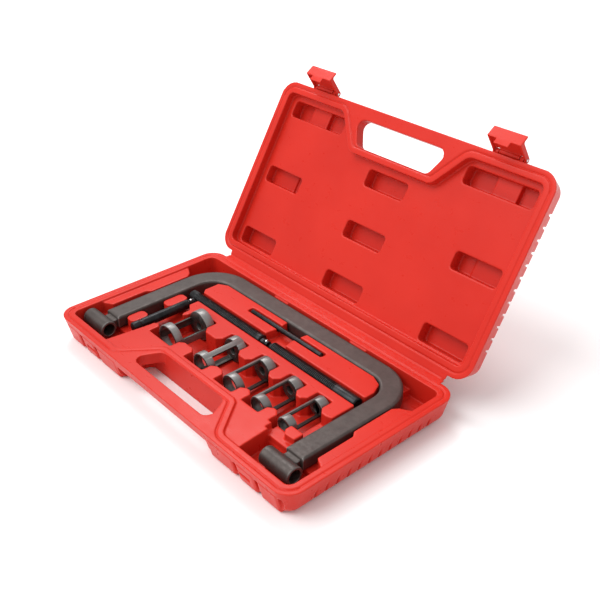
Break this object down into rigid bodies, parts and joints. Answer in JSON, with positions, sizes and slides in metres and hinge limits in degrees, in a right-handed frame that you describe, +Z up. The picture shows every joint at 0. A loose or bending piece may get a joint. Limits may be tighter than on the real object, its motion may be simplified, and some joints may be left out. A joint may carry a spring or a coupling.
{
  "type": "valve spring compressor kit",
  "caption": "C-frame valve spring compressor kit with spindles, extension rod, tommy bar and cage adapters in a blow-moulded case with snap latches.",
  "frame": {"origin": "centre of the case base's underside", "axes": "+X along the hinge, +Y towards the hinge, +Z up"},
  "size_m": [0.37, 0.3409, 0.2328],
  "materials": {
    "case_plastic": "satin",
    "forged_steel": "satin",
    "adapter_steel": "satin",
    "black_steel": "satin",
    "pin_steel": "satin",
    "ball_steel": "polished"
  },
  "bodies": {
    "base": {"case_base": "case_plastic", "living_hinge": "case_plastic"},
    "lid": {"case_lid": "case_plastic", "latch_pin_left": "pin_steel", "latch_pin_right": "pin_steel"},
    "latch_l": {"latch_left": "case_plastic"},
    "latch_r": {"latch_right": "case_plastic"},
    "frame": {"c_frame": "forged_steel"},
    "long_spindle": {"spindle_long": "black_steel", "detent_spring_long": "pin_steel"},
    "long_ball": {"detent_ball_long": "ball_steel"},
    "short_spindle": {"spindle_short": "black_steel"},
    "rod": {"extension_rod": "black_steel", "detent_spring_rod": "pin_steel"},
    "rod_ball": {"detent_ball_rod": "ball_steel"},
    "bar": {"tommy_bar": "black_steel"},
    "adapter_a_body": {"adapter_a": "adapter_steel"},
    "adapter_b_body": {"adapter_b": "adapter_steel"},
    "adapter_c_body": {"adapter_c": "adapter_steel"},
    "adapter_d_body": {"adapter_d": "adapter_steel"},
    "adapter_e_body": {"adapter_e": "adapter_steel"}
  },
  "joints": [
    {"name": "lid_hinge", "type": "hinge", "parent": "base", "child": "lid", "pos_m": [0, 0.1079, 0.02915], "axis": [-1, 0, 0], "range_deg": [-121.5, 58.5]},
    {"name": "latch_l_hinge", "type": "hinge", "parent": "lid", "child": "latch_l", "pos_m": [-0.1245, 0.22326, 0.2085], "axis": [-1, 0, 0], "range_deg": [-26, 69]},
    {"name": "latch_r_hinge", "type": "hinge", "parent": "lid", "child": "latch_r", "pos_m": [0.1245, 0.22326, 0.2085], "axis": [-1, 0, 0], "range_deg": [-26, 69]},
    {"name": "frame_lift", "type": "slide", "parent": "base", "child": "frame", "axis": [0, 0, 1], "range_m": [0, 0.06]},
    {"name": "long_spindle_lift", "type": "slide", "parent": "base", "child": "long_spindle", "axis": [0, 0, 1], "range_m": [0, 0.06]},
    {"name": "short_spindle_lift", "type": "slide", "parent": "base", "child": "short_spindle", "axis": [0, 0, 1], "range_m": [0, 0.06]},
    {"name": "rod_lift", "type": "slide", "parent": "base", "child": "rod", "axis": [0, 0, 1], "range_m": [0, 0.06]},
    {"name": "bar_lift", "type": "slide", "parent": "base", "child": "bar", "axis": [0, 0, 1], "range_m": [0, 0.06]},
    {"name": "adapter_a_lift", "type": "slide", "parent": "base", "child": "adapter_a_body", "axis": [0, 0, 1], "range_m": [0, 0.06]},
    {"name": "adapter_b_lift", "type": "slide", "parent": "base", "child": "adapter_b_body", "axis": [0, 0, 1], "range_m": [0, 0.06]},
    {"name": "adapter_c_lift", "type": "slide", "parent": "base", "child": "adapter_c_body", "axis": [0, 0, 1], "range_m": [0, 0.06]},
    {"name": "adapter_d_lift", "type": "slide", "parent": "base", "child": "adapter_d_body", "axis": [0, 0, 1], "range_m": [0, 0.06]},
    {"name": "adapter_e_lift", "type": "slide", "parent": "base", "child": "adapter_e_body", "axis": [0, 0, 1], "range_m": [0, 0.06]},
    {"name": "long_ball_slide", "type": "slide", "parent": "long_spindle", "child": "long_ball", "axis": [0, 0, 1], "range_m": [-0.0006, 0], "stiffness_N_per_m": 300, "deforming": ["detent_spring_long"]},
    {"name": "rod_ball_slide", "type": "slide", "parent": "rod", "child": "rod_ball", "axis": [0, 0, 1], "range_m": [-0.0006, 0], "stiffness_N_per_m": 300, "deforming": ["detent_spring_rod"]}
  ]
}
